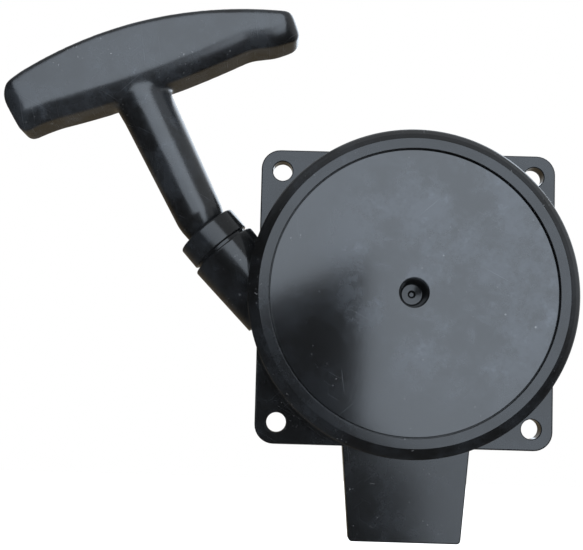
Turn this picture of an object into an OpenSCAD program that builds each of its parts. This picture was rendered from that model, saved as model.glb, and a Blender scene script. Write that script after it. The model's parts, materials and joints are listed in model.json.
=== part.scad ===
// Recoil (pull-rope) starter for a small engine, upright, as bolted to the engine's side.
// Lengths are millimetres. The crank axis is Y, the front cover faces -Y, and the origin is the
// centre of the four-bolt pattern on the mounting face.
// Each module works in the starter's own axes: x to the right as seen from the front, y up, and
// z forward from the mounting face. upright() turns those axes into the model's.

/* [Flange] */
// Side of the square flange
flange_w = 117; // [112:1:124]
// Thickness of the flange
flange_t = 7; // [5:0.5:8]
// Radius of the flange's corners
flange_corner_r = 7.5; // [4:0.5:9]
// Spacing of the four bolt holes, both ways
bolt_spacing = 100; // [98:1:104]
// Diameter of the bolt holes
bolt_hole_d = 7.8; // [6:0.1:9]

/* [Drum] */
// Outer radius of the drum
drum_r = 62; // [60:0.5:66]
// Thickness of the drum's wall
drum_wall = 2.7; // [2:0.1:3.2]
// Depth from the mounting face to the front ring
drum_depth = 35.6; // [35:0.1:38]
// Outer radius of the front ring's face
ring_r = 57.8; // [57:0.1:59]
// Radius of the front disc
disc_r = 53.7; // [50:0.1:55]
// How far the front disc lies below the ring
disc_recess = 1.2; // [0.6:0.1:1.6]

/* [Rope outlet] */
// Direction of the rope where it leaves the drum, in degrees from x
rope_angle = 131.5; // [125:0.5:140]
// Distance from the crank axis to the rope
rope_offset = 43.3; // [42.5:0.1:44]
// Height of the rope above the mounting face
rope_z = 15; // [15:0.1:15.5]
// Diameter of the rope
rope_d = 4; // [3:0.1:4.2]
// Diameter of the outlet boss
boss_d = 27.5; // [25:0.5:28]
// Diameter of the outlet boss at its root, inside the drum
boss_root_d = 25; // [23:0.5:28]
// Diameter of the rope guide's collar
collar_d = 25; // [22:0.5:26]

/* [Handle] */
// Direction of the handle's stem, in degrees from x
stem_angle = 117.3; // [110:0.1:125]
// Direction of the cross grip, in degrees from x
grip_angle = 16.7; // [12:0.1:24]
// Half of the grip's thickness
grip_half_t = 12.4; // [10:0.1:14]

/* [Tongue] */
// Width of the tongue at the flange
tongue_top_w = 50.8; // [44:0.2:54]
// Width of the tongue at its end
tongue_end_w = 43.6; // [38:0.2:48]
// Distance from the crank axis to the tongue's end
tongue_reach = 95.5; // [80:0.5:110]
// How far the tongue's middle stands to the right of the crank axis
tongue_x = 1.2; // [-2:0.1:2]

/* [Hidden] */
$fn = 96;
wire_sides = 24;
eps = 0.01;
through = 1;

black_plastic = [0.13, 0.13, 0.14];
grey_plastic = [0.24, 0.24, 0.25];
spring_steel = [0.42, 0.43, 0.46];
bright_steel = [0.66, 0.67, 0.69];
brass_tone = [0.76, 0.62, 0.33];
rope_tone = [0.88, 0.86, 0.80];

// Front wall, the disc's seat and the drum's inside
disc_t = 1.4;
disc_gap = 0.4;
disc_front_z = drum_depth - disc_recess;
disc_back_z = disc_front_z - disc_t;
front_wall_t = 2.6;
ceiling_z = disc_back_z - front_wall_t;
drum_inner_r = drum_r - drum_wall;

// Dimple at the disc's centre
dimple_r = 5.5;
dimple_seat_r = 5.2;
dimple_floor_r = 4.1;
dimple_floor_z = disc_back_z - 6.8;
pit_r = 1.5;
pit_floor_r = 0.8;
pit_d = 1;

// Centre post: a wide arbor for the spring, then the reel's spindle
arbor_r = 11;
spindle_r = 6;
spindle_end_z = 8;
insert_r = 3.4;
insert_bore_r = 2.1;
insert_start_z = 8.4;
insert_end_z = 21;

// Reel, along the axis from the rear
reel_rear_z = 9.9;
reel_flange_t = 1.5;
groove_w = 7.2;
reel_r = 52;
core_r = 30.5;
core_wall = 3;
hub_r = 12;
bush_r = 8;
running_gap = 0.05;
groove_start_z = reel_rear_z + reel_flange_t;
groove_end_z = groove_start_z + groove_w;
chamber_start_z = groove_end_z + reel_flange_t;
chamber_end_z = ceiling_z - 0.8;
chamber_r = 41.5;
chamber_wall = 2;
rib_t = 2.4;
rib_count = 6;
arbor_end_z = chamber_start_z + 0.4;

// Recoil spring strip
spring_t = 0.5;
spring_turns = 9;
spring_step = 15;
spring_start_r = arbor_r + 0.4;
spring_end_r = chamber_r - spring_t - 0.15;
spring_z = chamber_start_z + 0.6;
spring_w = 8;
hook_slot_w = 1.4;
hook_slot_d = 4;
hook_reach = 2.6;

// Rear drive: washer, guide plate, pawls
head_h = 3;
head_r = 7;
washer_t = 1;
washer_r = 9.5;
collar_r = 5;
guide_z = head_h + washer_t + 0.1;
guide_t = 1.6;
guide_r = 31.5;
guide_half_w = 8.2;
guide_disc_r = 13;
pawl_z = guide_z + guide_t + 0.3;
pawl_t = 3.6;
pawl_pivot_r = 22;
pawl_hub_r = 4.6;
pin_r = 2;
pin_end_z = 16;
peg = [1, -8];
peg_r = 1.5;
peg_gap = 0.25;
guide_swing = 20;
pawl_ratio = 1.4;
slot_steps = 8;
pawl_boss_r = 5.4;
pawl_spring_recess_r = 3.9;
pawl_spring_recess_d = 2.4;
pawl_spring_wire_r = 0.45;
pawl_spring_coil_r = 3.1;
pawl_spring_pitch = 0.85;
pawl_spring_leg = 6.1;
pawl_spring_angle = -33;
pawl_spring_start_z = reel_rear_z + 0.55;
leg_notch_w = 1.5;
leg_notch_d = 1.1;
leg_notch_l = pawl_spring_leg + 1.2;

// Spring behind the guide plate
friction_wire_r = 0.7;
friction_coil_r = 8.2;
friction_coil_step = 0.4;
friction_pitch = 1.3;
friction_rings = 3;

// Rope line: distances along it are counted from its nearest point to the crank axis
rope_r = rope_d / 2;
rope_sides = 12;
boss_end = 60.15;
collar_end = 70.65;
guide_stem_r = 9;
guide_start = 46;
guide_bore_r = 3;
funnel_r = 10.8;
winding_gap = 0.1;
winding_r = rope_offset - rope_r - winding_gap;

// Handle: distances along the stem are counted from the guide's mouth
nose_start = -5;
stem_top = 66;
channel_r = 2.6;
pocket_r = 7;
pocket_floor = 64;
plug_floor = 76;
plug_top = 83.4;
knot_r = 4.1;
washer_seat = pocket_floor + 0.05;
rope_washer_t = 1.15;
rope_end_a = washer_seat + rope_washer_t - 0.05;

// Grip, in its own axes: u along the grip, v across it
grip_center = [66.35, -8.7];
grip_start_u = -60;
grip_end_u = 58.6;
grip_left_round = 11;
grip_right_round = 5;
grip_end_power = 2.4;
grip_peak_u = -3;
grip_peak_v = 16.85;
grip_arc_r = 159;
grip_underside_v = -9.45;
grip_underside_slope = 0.085;
grip_underside_curve = 0.0012;
grip_right_hook = 3.9;
grip_right_hook_u = 36;
grip_left_hook = 1.5;
grip_left_hook_u = -40;
grip_hook_l = 16;
grip_thinning = 0.12;
grip_stations = 19;
grip_sides = 24;
grip_square = 4;

// Turns the starter's own axes into the model's
module upright() {
    rotate([90, 0, 0]) children();
}

// Puts children at distance s along the rope line, with their z along the rope
module on_rope(s) {
    translate([0, 0, rope_z])
        rotate([0, 0, rope_angle])
            translate([s, rope_offset, 0])
                rotate([0, 90, 0]) children();
}

guide_mouth = [
    collar_end * cos(rope_angle) - rope_offset * sin(rope_angle),
    collar_end * sin(rope_angle) + rope_offset * cos(rope_angle),
    rope_z
];

// Puts children on the handle: x runs up the stem from the guide's mouth
module on_handle() {
    translate(guide_mouth)
        rotate([0, 0, stem_angle]) children();
}

// Puts children at distance a up the stem, with their z along it
module on_stem(a) {
    on_handle()
        translate([a, 0, 0])
            rotate([0, 90, 0]) children();
}

// Two copies, half a turn apart
module both_sides() {
    for (turn = [0, 180]) rotate([0, 0, turn]) children();
}

module rounded_square(w, r) {
    square([w - 2 * r, w], center = true);
    square([w, w - 2 * r], center = true);
    for (x = [-1, 1], y = [-1, 1])
        translate([x * (w / 2 - r), y * (w / 2 - r)]) circle(r);
}

module bolt_places() {
    for (x = [-1, 1], y = [-1, 1])
        translate([x * bolt_spacing / 2, y * bolt_spacing / 2, 0]) children();
}

// Outside of the drum, with its stepped shoulder and front ring
module drum_body() {
    rotate_extrude()
        polygon([
            [0, 0],
            [drum_r, 0],
            [drum_r, drum_depth - 3.6],
            [drum_r - 0.7, drum_depth - 2.6],
            [drum_r - 2.2, drum_depth - 1.2],
            [ring_r + 0.5, drum_depth - 0.25],
            [ring_r, drum_depth],
            [0, drum_depth]
        ]);
}

// Outline of the tongue, larger or smaller by grow on its sides
module tongue_outline(grow) {
    top_y = -flange_w / 2 + 6;
    translate([tongue_x, 0]) polygon([
        [-tongue_top_w / 2 - grow, top_y],
        [-tongue_end_w / 2 - grow, -tongue_reach - grow],
        [tongue_end_w / 2 + grow, -tongue_reach - grow],
        [tongue_top_w / 2 + grow, top_y]
    ]);
}

// The tongue is a shallow trough, open at the back and at its end
module tongue() {
    wall = 2.4;
    difference() {
        linear_extrude(flange_t) tongue_outline(0);
        translate([0, 0, -through])
            linear_extrude(flange_t - wall + through)
                intersection() {
                    tongue_outline(-wall);
                    translate([-flange_w / 2, -2 * flange_w - flange_w / 2])
                        square([flange_w, 2 * flange_w]);
                }
        translate([tongue_x - tongue_end_w / 2 + wall, -tongue_reach - through, -through])
            cube([tongue_end_w - 2 * wall, wall + 2 * through, flange_t - wall + through]);
    }
}

// Centre post that the spring and the reel sit on
module center_post() {
    difference() {
        union() {
            translate([0, 0, arbor_end_z]) cylinder(r = arbor_r, h = ceiling_z - arbor_end_z + eps);
            translate([0, 0, spindle_end_z]) cylinder(r = spindle_r, h = arbor_end_z - spindle_end_z + eps);
        }
        translate([0, 0, spindle_end_z - through]) cylinder(r = insert_r, h = insert_end_z - spindle_end_z + through);
        translate([arbor_r - hook_slot_d, -hook_slot_w / 2, arbor_end_z - eps])
            cube([hook_slot_d + through, hook_slot_w, ceiling_z - arbor_end_z]);
    }
}

module housing() color(black_plastic) upright() {
    difference() {
        union() {
            linear_extrude(flange_t) rounded_square(flange_w, flange_corner_r);
            drum_body();
            on_rope(drum_inner_r / 2) cylinder(d1 = boss_root_d, d2 = boss_d, h = boss_end - drum_inner_r / 2);
            tongue();
        }
        difference() {
            translate([0, 0, -through]) cylinder(r = drum_inner_r, h = ceiling_z + through);
            center_post();
        }
        translate([0, 0, disc_back_z]) cylinder(r = disc_r + disc_gap, h = disc_t + disc_recess + through);
        translate([0, 0, dimple_floor_z])
            cylinder(r1 = dimple_floor_r, r2 = dimple_seat_r, h = disc_back_z - dimple_floor_z + eps);
        translate([0, 0, dimple_floor_z - pit_d]) cylinder(r1 = pit_floor_r, r2 = pit_r, h = pit_d + eps);
        on_rope(drum_inner_r / 2) cylinder(r = guide_stem_r, h = boss_end - drum_inner_r / 2 + through);
        bolt_places() translate([0, 0, -through]) cylinder(d = bolt_hole_d, h = flange_t + 2 * through);
    }
}

module front_disc() color(black_plastic) upright() {
    edge = 0.3;
    difference() {
        union() {
            translate([0, 0, disc_back_z]) cylinder(r = disc_r, h = disc_t - edge);
            translate([0, 0, disc_front_z - edge]) cylinder(r1 = disc_r, r2 = disc_r - edge, h = edge);
        }
        translate([0, 0, disc_back_z - eps])
            cylinder(r1 = dimple_seat_r, r2 = dimple_r, h = disc_t + 2 * eps);
    }
}

// Funnel-mouthed bush that the rope and the handle's nose sit in
module rope_guide() color(black_plastic) upright() {
    neck = 1.5;
    edge = 0.9;
    stem_l = boss_end - guide_start;
    collar_l = collar_end - boss_end;
    on_rope(guide_start) difference() {
        rotate_extrude()
            polygon([
                [guide_bore_r, 3],
                [5.5, 0],
                [guide_stem_r - running_gap, 0],
                [guide_stem_r - running_gap, stem_l + running_gap],
                [collar_d / 2 - 1.3, stem_l + running_gap],
                [collar_d / 2 - 1.3, stem_l + neck],
                [collar_d / 2, stem_l + neck],
                [collar_d / 2, stem_l + collar_l - edge],
                [collar_d / 2 - edge, stem_l + collar_l],
                [funnel_r, stem_l + collar_l],
                [funnel_r - 0.6, stem_l + collar_l - 1],
                [guide_bore_r, stem_l]
            ]);
    }
}

module thread_insert() color(brass_tone) upright() {
    difference() {
        translate([0, 0, insert_start_z]) cylinder(r = insert_r - running_gap, h = insert_end_z - insert_start_z);
        translate([0, 0, insert_start_z - through])
            cylinder(r = insert_bore_r, h = insert_end_z - insert_start_z + 2 * through);
    }
}

function spring_r(turns) = spring_start_r + (spring_end_r - spring_start_r) * turns / spring_turns;
function spring_point(k, out) =
    let (turns = k * spring_step / 360, r = spring_r(turns) + out)
    [r * cos(k * spring_step), r * sin(k * spring_step)];
spring_last = spring_turns * 360 / spring_step;

// Flat strip wound outward from the post, hooked into the post and into the reel's rim
module recoil_spring() color(spring_steel) upright() {
    post_hook_r = spring_start_r - hook_reach;
    rim_hook_r = spring_end_r + hook_reach;
    translate([0, 0, spring_z]) linear_extrude(spring_w) polygon(concat(
        [for (k = [0 : spring_last]) spring_point(k, 0)],
        [[rim_hook_r, 0], [rim_hook_r, -spring_t], [spring_end_r + spring_t, -spring_t]],
        [for (k = [spring_last - 1 : -1 : 0]) spring_point(k, spring_t)],
        [[spring_start_r + spring_t, -spring_t], [post_hook_r, -spring_t], [post_hook_r, 0]]
    ));
}

// Shouldered screw: flanged head, collar for the guide plate, thread
module center_screw() color(bright_steel) upright() {
    socket_r = 3.4;
    socket_d = 1.8;
    difference() {
        union() {
            cylinder(r = head_r, h = head_h);
            translate([0, 0, head_h - eps]) cylinder(r = collar_r, h = spindle_end_z - head_h + eps);
            translate([0, 0, spindle_end_z - eps])
                cylinder(r = insert_bore_r - running_gap, h = insert_end_z - spindle_end_z - 1);
        }
        translate([0, 0, -eps]) cylinder(r = socket_r, h = socket_d, $fn = 6);
    }
}

module friction_washer() color(bright_steel) upright() {
    translate([0, 0, head_h]) difference() {
        cylinder(r = washer_r, h = washer_t);
        translate([0, 0, -through]) cylinder(r = collar_r + running_gap, h = washer_t + 2 * through);
    }
}

// Places on the rope, in the plane of the groove
function rope_point(s) = [
    s * cos(rope_angle) - rope_offset * sin(rope_angle),
    s * sin(rope_angle) + rope_offset * cos(rope_angle)
];
function stem_point(a) = [guide_mouth[0] + a * cos(stem_angle), guide_mouth[1] + a * sin(stem_angle)];
rope_route = concat(
    [for (s = [0, 16, 32, 48, 60, collar_end - 3, collar_end - 1]) rope_point(s)],
    [for (a = [1, 3, 14, 28, 42, 54, rope_end_a]) stem_point(a)]
);
function rope_heading(i) =
    let (
        before = rope_route[max(i - 1, 0)],
        after = rope_route[min(i + 1, len(rope_route) - 1)]
    )
    atan2(after[1] - before[1], after[0] - before[0]);

// Rope from the winding through the guide, and up the handle's channel to its knot
module rope_lead() color(rope_tone) upright() {
    count = len(rope_route);
    points = [
        for (i = [0 : count - 1], k = [0 : rope_sides - 1])
            let (heading = rope_heading(i), around = 360 * k / rope_sides) [
                rope_route[i][0] - rope_r * cos(around) * sin(heading),
                rope_route[i][1] + rope_r * cos(around) * cos(heading),
                rope_z + rope_r * sin(around)
            ]
    ];
    walls = [
        for (i = [0 : count - 2], k = [0 : rope_sides - 1])
            let (next = (k + 1) % rope_sides)
            [i * rope_sides + k, (i + 1) * rope_sides + k, (i + 1) * rope_sides + next, i * rope_sides + next]
    ];
    start_cap = [for (k = [0 : rope_sides - 1]) k];
    end_cap = [for (k = [rope_sides - 1 : -1 : 0]) (count - 1) * rope_sides + k];
    polyhedron(points, concat(walls, [start_cap, end_cap]));
}

module reel() color(grey_plastic) upright() {
    difference() {
        union() {
            translate([0, 0, reel_rear_z]) cylinder(r = reel_r, h = reel_flange_t);
            translate([0, 0, groove_end_z]) cylinder(r = reel_r, h = reel_flange_t);
            translate([0, 0, reel_rear_z]) cylinder(r = core_r, h = chamber_start_z - reel_rear_z);
            translate([0, 0, chamber_start_z - eps])
                cylinder(r = chamber_r + chamber_wall, h = chamber_end_z - chamber_start_z + eps);
        }
        translate([0, 0, chamber_start_z]) cylinder(r = chamber_r, h = chamber_end_z);
        translate([chamber_r - through, -hook_slot_w / 2, chamber_start_z])
            cube([chamber_wall + 2 * through, hook_slot_w, chamber_end_z]);
        difference() {
            translate([0, 0, reel_rear_z - through])
                cylinder(r = core_r - core_wall, h = groove_end_z - reel_rear_z + through);
            cylinder(r = hub_r, h = chamber_start_z);
            for (k = [0 : rib_count - 1])
                rotate([0, 0, k * 360 / rib_count])
                    translate([hub_r - 1, -rib_t / 2, 0]) cube([core_r - hub_r, rib_t, chamber_start_z]);
            both_sides() translate([pawl_pivot_r, 0, 0]) cylinder(r = pawl_boss_r, h = chamber_start_z);
        }
        translate([0, 0, reel_rear_z - through]) cylinder(r = bush_r, h = chamber_start_z);
        both_sides() translate([pawl_pivot_r, 0, reel_rear_z - through]) {
            cylinder(r = pin_r, h = pin_end_z - reel_rear_z + through);
            cylinder(r = pawl_spring_recess_r, h = pawl_spring_recess_d + through);
            rotate([0, 0, pawl_spring_angle])
                translate([0, -leg_notch_w / 2, 0]) cube([leg_notch_l, leg_notch_w, through + leg_notch_d]);
        }
        translate([0, core_r - core_wall - 2, rope_z])
            rotate([-90, 0, 0]) cylinder(r = rope_r + 0.2, h = core_wall + 4);
    }
}

module reel_bush() color(brass_tone) upright() {
    translate([0, 0, reel_rear_z + 0.1]) difference() {
        cylinder(r = bush_r - 0.02, h = chamber_start_z - reel_rear_z - 0.1);
        translate([0, 0, -through]) cylinder(r = spindle_r + running_gap, h = chamber_start_z);
    }
}

// The turns still on the reel, as the ring that they fill
module rope_winding() color(rope_tone) upright() {
    gap = 0.05;
    translate([0, 0, groove_start_z + gap]) difference() {
        cylinder(r = winding_r, h = groove_w - 2 * gap);
        translate([0, 0, -through]) cylinder(r = core_r + gap, h = groove_w + 2 * through);
    }
}

module reel_knot() color(rope_tone) upright() {
    knot_center = core_r - core_wall - knot_r + 0.2;
    translate([0, knot_center, rope_z]) {
        intersection() {
            sphere(r = knot_r - 0.3);
            cube([2 * knot_r, 2 * knot_r, groove_w - 0.4], center = true);
        }
        rotate([-90, 0, 0]) cylinder(r = rope_r, h = core_r - knot_center);
    }
}

// Short conical spring that presses the guide plate against its washer
module friction_spring() color(spring_steel) upright() {
    for (k = [0 : friction_rings - 1])
        translate([0, 0, reel_rear_z - friction_wire_r - k * friction_pitch])
            rotate_extrude()
                translate([friction_coil_r - k * friction_coil_step, 0]) circle(friction_wire_r, $fn = wire_sides);
}

module pawl_pin() color(bright_steel) upright() {
    translate([pawl_pivot_r, 0, pawl_z - 0.1]) cylinder(r = pin_r - 0.01, h = pin_end_z - pawl_z);
}

module pawl_pin_a() pawl_pin();
module pawl_pin_b() rotate([0, 180, 0]) pawl_pin();

// Torsion spring in the reel's recess, with a leg that bears on the pawl's outer side
module pawl_spring() color(spring_steel) upright() {
    leg_start_z = pawl_z + 1;
    translate([pawl_pivot_r, 0, 0]) {
        for (k = [0, 1])
            translate([0, 0, pawl_spring_start_z + k * pawl_spring_pitch])
                rotate_extrude() translate([pawl_spring_coil_r, 0]) circle(pawl_spring_wire_r, $fn = wire_sides);
        rotate([0, 0, pawl_spring_angle]) {
            translate([pawl_spring_coil_r, 0, pawl_spring_start_z])
                rotate([0, 90, 0])
                    cylinder(r = pawl_spring_wire_r, h = pawl_spring_leg - pawl_spring_coil_r, $fn = wire_sides);
            translate([pawl_spring_leg, 0, leg_start_z]) {
                cylinder(r = pawl_spring_wire_r, h = pawl_spring_start_z - leg_start_z, $fn = wire_sides);
                translate([0, 0, pawl_spring_start_z - leg_start_z]) sphere(pawl_spring_wire_r, $fn = wire_sides);
            }
        }
    }
}

module pawl_spring_a() pawl_spring();
module pawl_spring_b() rotate([0, 180, 0]) pawl_spring();

// Where a pawl's peg is, seen from the guide plate, once the plate has turned by angle
function turned(p, angle) = [
    p[0] * cos(angle) - p[1] * sin(angle),
    p[0] * sin(angle) + p[1] * cos(angle)
];
function peg_in_guide(angle) =
    turned([pawl_pivot_r, 0] + turned(peg, pawl_ratio * angle), -angle);
bar_angle = atan2(
    (peg_in_guide(0) + peg_in_guide(guide_swing))[1],
    (peg_in_guide(0) + peg_in_guide(guide_swing))[0]
);

// Cam plate: turning it drives each pawl's peg along its slot
module guide_plate() color(spring_steel) upright() {
    translate([0, 0, guide_z]) difference() {
        linear_extrude(guide_t) {
            circle(guide_disc_r);
            intersection() {
                circle(guide_r);
                rotate([0, 0, bar_angle]) square([3 * guide_r, 2 * guide_half_w], center = true);
            }
        }
        translate([0, 0, -through]) cylinder(r = collar_r + running_gap, h = guide_t + 2 * through);
        both_sides()
            for (k = [0 : slot_steps])
                translate(concat(peg_in_guide(guide_swing * k / slot_steps), [-through]))
                    cylinder(r = peg_r + peg_gap, h = guide_t + 2 * through);
    }
}

module pawl() color(bright_steel) upright() {
    pin_gap = running_gap;
    difference() {
        union() {
            translate([0, 0, pawl_z]) linear_extrude(pawl_t) {
                translate([pawl_pivot_r, 0]) circle(pawl_hub_r);
                polygon([
                    [pawl_pivot_r - 4.4, -1],
                    [pawl_pivot_r - 2.6, -10],
                    [pawl_pivot_r - 0.4, -16.4],
                    [pawl_pivot_r + 5.2, -15.2],
                    [pawl_pivot_r + 4.2, -8],
                    [pawl_pivot_r + 4.5, -1]
                ]);
            }
            translate([pawl_pivot_r + peg[0], peg[1], guide_z - 0.5])
                cylinder(r = peg_r, h = pawl_z - guide_z + 0.5 + eps);
        }
        translate([pawl_pivot_r, 0, pawl_z - through]) cylinder(r = pin_r - 0.01 + pin_gap, h = pawl_t + 2 * through);
    }
}

module pawl_a() pawl();
module pawl_b() rotate([0, 180, 0]) pawl();

module rope_washer() color(bright_steel) upright() {
    on_stem(washer_seat) difference() {
        cylinder(r = pocket_r - 0.8, h = rope_washer_t);
        translate([0, 0, -through]) cylinder(r = rope_r + 0.3, h = rope_washer_t + 2 * through);
    }
}

module handle_knot() color(rope_tone) upright() {
    on_stem(washer_seat + rope_washer_t + knot_r) sphere(r = knot_r);
}

// Height of the grip's top and underside at a place along it
function grip_top(u) = grip_peak_v - pow(u - grip_peak_u, 2) / (2 * grip_arc_r);
function eased(x) = let (t = max(0, min(1, x))) t * t * (3 - 2 * t);
function grip_bottom(u) =
    grip_underside_v + grip_underside_slope * u + grip_underside_curve * u * u
    - grip_right_hook * eased((u - grip_right_hook_u) / grip_hook_l)
    - grip_left_hook * eased((grip_left_hook_u - u) / grip_hook_l);
// How much the section shrinks towards a rounded end
function grip_end_scale(u) =
    let (
        left = max(0, 1 - (u - grip_start_u) / grip_left_round),
        right = max(0, 1 - (grip_end_u - u) / grip_right_round)
    )
    pow(1 - pow(max(left, right), grip_end_power), 1 / grip_end_power);
// Stations crowd towards the ends, where the section changes fastest
function grip_station(k) =
    let (middle = (grip_start_u + grip_end_u) / 2, half = (grip_end_u - grip_start_u) / 2)
    middle - half * cos(4 + 172 * k / (grip_stations - 1));
function signed_power(x, p) = sign(x) * pow(abs(x), p);
function grip_ring(u) =
    let (
        middle = (grip_top(u) + grip_bottom(u)) / 2,
        half_v = (grip_top(u) - grip_bottom(u)) / 2 * grip_end_scale(u),
        half_t = grip_half_t * (1 - grip_thinning * pow(u / grip_start_u, 2)) * pow(grip_end_scale(u), 0.7)
    )
    [for (k = [0 : grip_sides - 1]) let (a = 360 * k / grip_sides) [
        u,
        middle + half_v * signed_power(sin(a), 2 / grip_square),
        half_t * signed_power(cos(a), 2 / grip_square)
    ]];

// Cross grip, lofted through rounded-square sections
module grip_body() {
    points = [for (k = [0 : grip_stations - 1]) each grip_ring(grip_station(k))];
    last = (grip_stations - 1) * grip_sides;
    walls = [
        for (i = [0 : grip_stations - 2], k = [0 : grip_sides - 1])
            let (a = i * grip_sides + k, b = i * grip_sides + (k + 1) % grip_sides)
            each [[a, b, b + grip_sides], [a, b + grip_sides, a + grip_sides]]
    ];
    caps = [
        [for (k = [grip_sides - 1 : -1 : 0]) k],
        [for (k = [0 : grip_sides - 1]) last + k]
    ];
    translate([grip_center[0], grip_center[1], 0])
        rotate([0, 0, grip_angle - stem_angle])
            polyhedron(points, concat(walls, caps));
}

// Stem, tapering to the nose that sits in the rope guide and flaring into the grip
module stem_body() {
    rotate([0, 90, 0]) rotate_extrude()
        polygon([
            [0, nose_start],
            [4.3, nose_start],
            [5.6, nose_start + 0.9],
            [7.6, -1.4],
            [8.9, 3],
            [9.4, 6],
            [10.7, 52],
            [11.4, 58],
            [11.4, stem_top],
            [0, stem_top]
        ]);
}

module handle_grip() color(black_plastic) upright() {
    on_handle() difference() {
        union() {
            grip_body();
            stem_body();
        }
        rotate([0, 90, 0]) {
            translate([0, 0, nose_start - through]) cylinder(r = channel_r, h = stem_top - nose_start);
            translate([0, 0, nose_start - eps]) cylinder(r1 = 4, r2 = channel_r, h = 6);
            translate([0, 0, pocket_floor]) cylinder(r = pocket_r, h = stem_top);
        }
    }
}

module grip_plug() color(black_plastic) upright() {
    on_stem(plug_floor) cylinder(r = pocket_r - running_gap, h = plug_top - plug_floor);
}

housing();
front_disc();
rope_guide();
thread_insert();
recoil_spring();
center_screw();
friction_washer();
rope_lead();
reel();
reel_bush();
rope_winding();
reel_knot();
friction_spring();
pawl_pin_a();
pawl_pin_b();
pawl_spring_a();
pawl_spring_b();
guide_plate();
pawl_a();
pawl_b();
rope_washer();
handle_knot();
handle_grip();
grip_plug();
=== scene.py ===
import json
import math

import bmesh
import bpy
import numpy as np
from mathutils import Matrix, Vector


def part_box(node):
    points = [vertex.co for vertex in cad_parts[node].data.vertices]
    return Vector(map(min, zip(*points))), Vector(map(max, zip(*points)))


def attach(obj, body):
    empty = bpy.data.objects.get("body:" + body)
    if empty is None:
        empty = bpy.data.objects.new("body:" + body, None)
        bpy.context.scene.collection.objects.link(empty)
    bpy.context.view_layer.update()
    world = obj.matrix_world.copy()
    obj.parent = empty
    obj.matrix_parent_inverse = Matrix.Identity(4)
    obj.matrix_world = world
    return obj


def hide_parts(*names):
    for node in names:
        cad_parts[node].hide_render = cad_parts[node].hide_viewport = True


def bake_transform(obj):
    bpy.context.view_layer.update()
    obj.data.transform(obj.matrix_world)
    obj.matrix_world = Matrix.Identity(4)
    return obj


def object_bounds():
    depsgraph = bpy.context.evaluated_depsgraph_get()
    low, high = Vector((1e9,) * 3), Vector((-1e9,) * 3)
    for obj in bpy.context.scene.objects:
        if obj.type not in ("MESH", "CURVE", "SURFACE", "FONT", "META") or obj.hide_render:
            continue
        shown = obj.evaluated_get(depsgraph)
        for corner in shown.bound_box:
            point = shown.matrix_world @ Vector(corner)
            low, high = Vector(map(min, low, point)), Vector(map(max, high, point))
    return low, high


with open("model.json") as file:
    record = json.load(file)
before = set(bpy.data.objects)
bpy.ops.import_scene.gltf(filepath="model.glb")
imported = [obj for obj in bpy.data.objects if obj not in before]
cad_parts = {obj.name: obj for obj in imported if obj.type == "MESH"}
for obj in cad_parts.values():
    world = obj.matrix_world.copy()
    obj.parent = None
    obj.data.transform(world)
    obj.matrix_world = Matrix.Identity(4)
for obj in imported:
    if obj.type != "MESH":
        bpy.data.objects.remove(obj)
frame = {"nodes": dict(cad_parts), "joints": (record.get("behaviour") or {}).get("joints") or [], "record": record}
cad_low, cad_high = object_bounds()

# Every own piece is drawn in millimetres in the starter's own axes: x to the right as seen from
# the front, y up, z forward from the mounting face. TO_FRAME turns those into the model's frame.
MM = 0.001
STILL = Matrix.Identity(4)
TO_FRAME = Matrix.Rotation(math.radians(90), 4, "X") @ Matrix.Diagonal((MM, MM, MM, 1))
TINY = 1e-6


# ---------------------------------------------------------------- sizes, taken from the frame

def box_mm(node):
    """Lowest and highest corner of a CAD node in the starter's own axes."""
    low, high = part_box(node)
    return (
        Vector((low.x, low.z, -high.y)) / MM,
        Vector((high.x, high.z, -low.y)) / MM,
    )


def mount(name):
    return next(m for m in frame["record"]["mounts"] if m["name"] == name)


def joint(name):
    return next(j for j in frame["joints"] if j["name"] == name)


housing_low, housing_high = box_mm("housing")
disc_low, disc_high = box_mm("front_disc")
reel_low, reel_high = box_mm("reel")
winding_low, winding_high = box_mm("rope_winding")
bolts = mount("flange_bolts")["dims"]

DRUM_R = housing_high.x
DRUM_DEPTH = housing_high.z
TONGUE_REACH = -housing_low.y
DISC_R = disc_high.x
DISC_FRONT = disc_high.z
DISC_BACK = disc_low.z
BOLT_SPACING = bolts["spacing_x_mm"]
BOLT_HOLE_R = bolts["hole_r_mm"]
REEL_REAR = reel_low.z
REEL_CORE_R = 30.5

FLANGE_HALF = BOLT_SPACING / 2 + 8.5
FLANGE_T = 7
FLANGE_CORNER_R = 7.5
DRUM_WALL = 2.7
RING_R = DRUM_R - 4.2
CEILING = DISC_BACK - 2.6

ROPE_ANGLE = math.radians(131.5)
swivel = joint("handle_swivel")
MOUTH = Vector((swivel["pos_m"][0], swivel["pos_m"][2], -swivel["pos_m"][1])) / MM
STEM_ANGLE = math.atan2(swivel["axis"][2], swivel["axis"][0])
ROPE_Z = MOUTH.z
MOUTH_S = MOUTH.x * math.cos(ROPE_ANGLE) + MOUTH.y * math.sin(ROPE_ANGLE)
ROPE_OFFSET = MOUTH.y * math.cos(ROPE_ANGLE) - MOUTH.x * math.sin(ROPE_ANGLE)
BOSS_END = MOUTH_S - 10.5
BOSS_R = 13.75
BOSS_ROOT_R = 12.5
GUIDE_STEM_R = 8.95
ROPE_R = 2
BRAID_PITCH = 6.5
DIMPLE_SEAT_R = 5.2
PAWL_PIVOT_R = 22

GRIP_ANGLE = math.radians(16.7)
GRIP_CENTER = Vector((66.35, -8.7, 0))
GRIP_HALF_T = 12.4


def on_rope(s):
    """Axes at distance s along the rope line, with z along the rope."""
    return (
        Matrix.Translation((0, 0, ROPE_Z))
        @ Matrix.Rotation(ROPE_ANGLE, 4, "Z")
        @ Matrix.Translation((s, ROPE_OFFSET, 0))
        @ Matrix.Rotation(math.radians(90), 4, "Y")
    )


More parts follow.
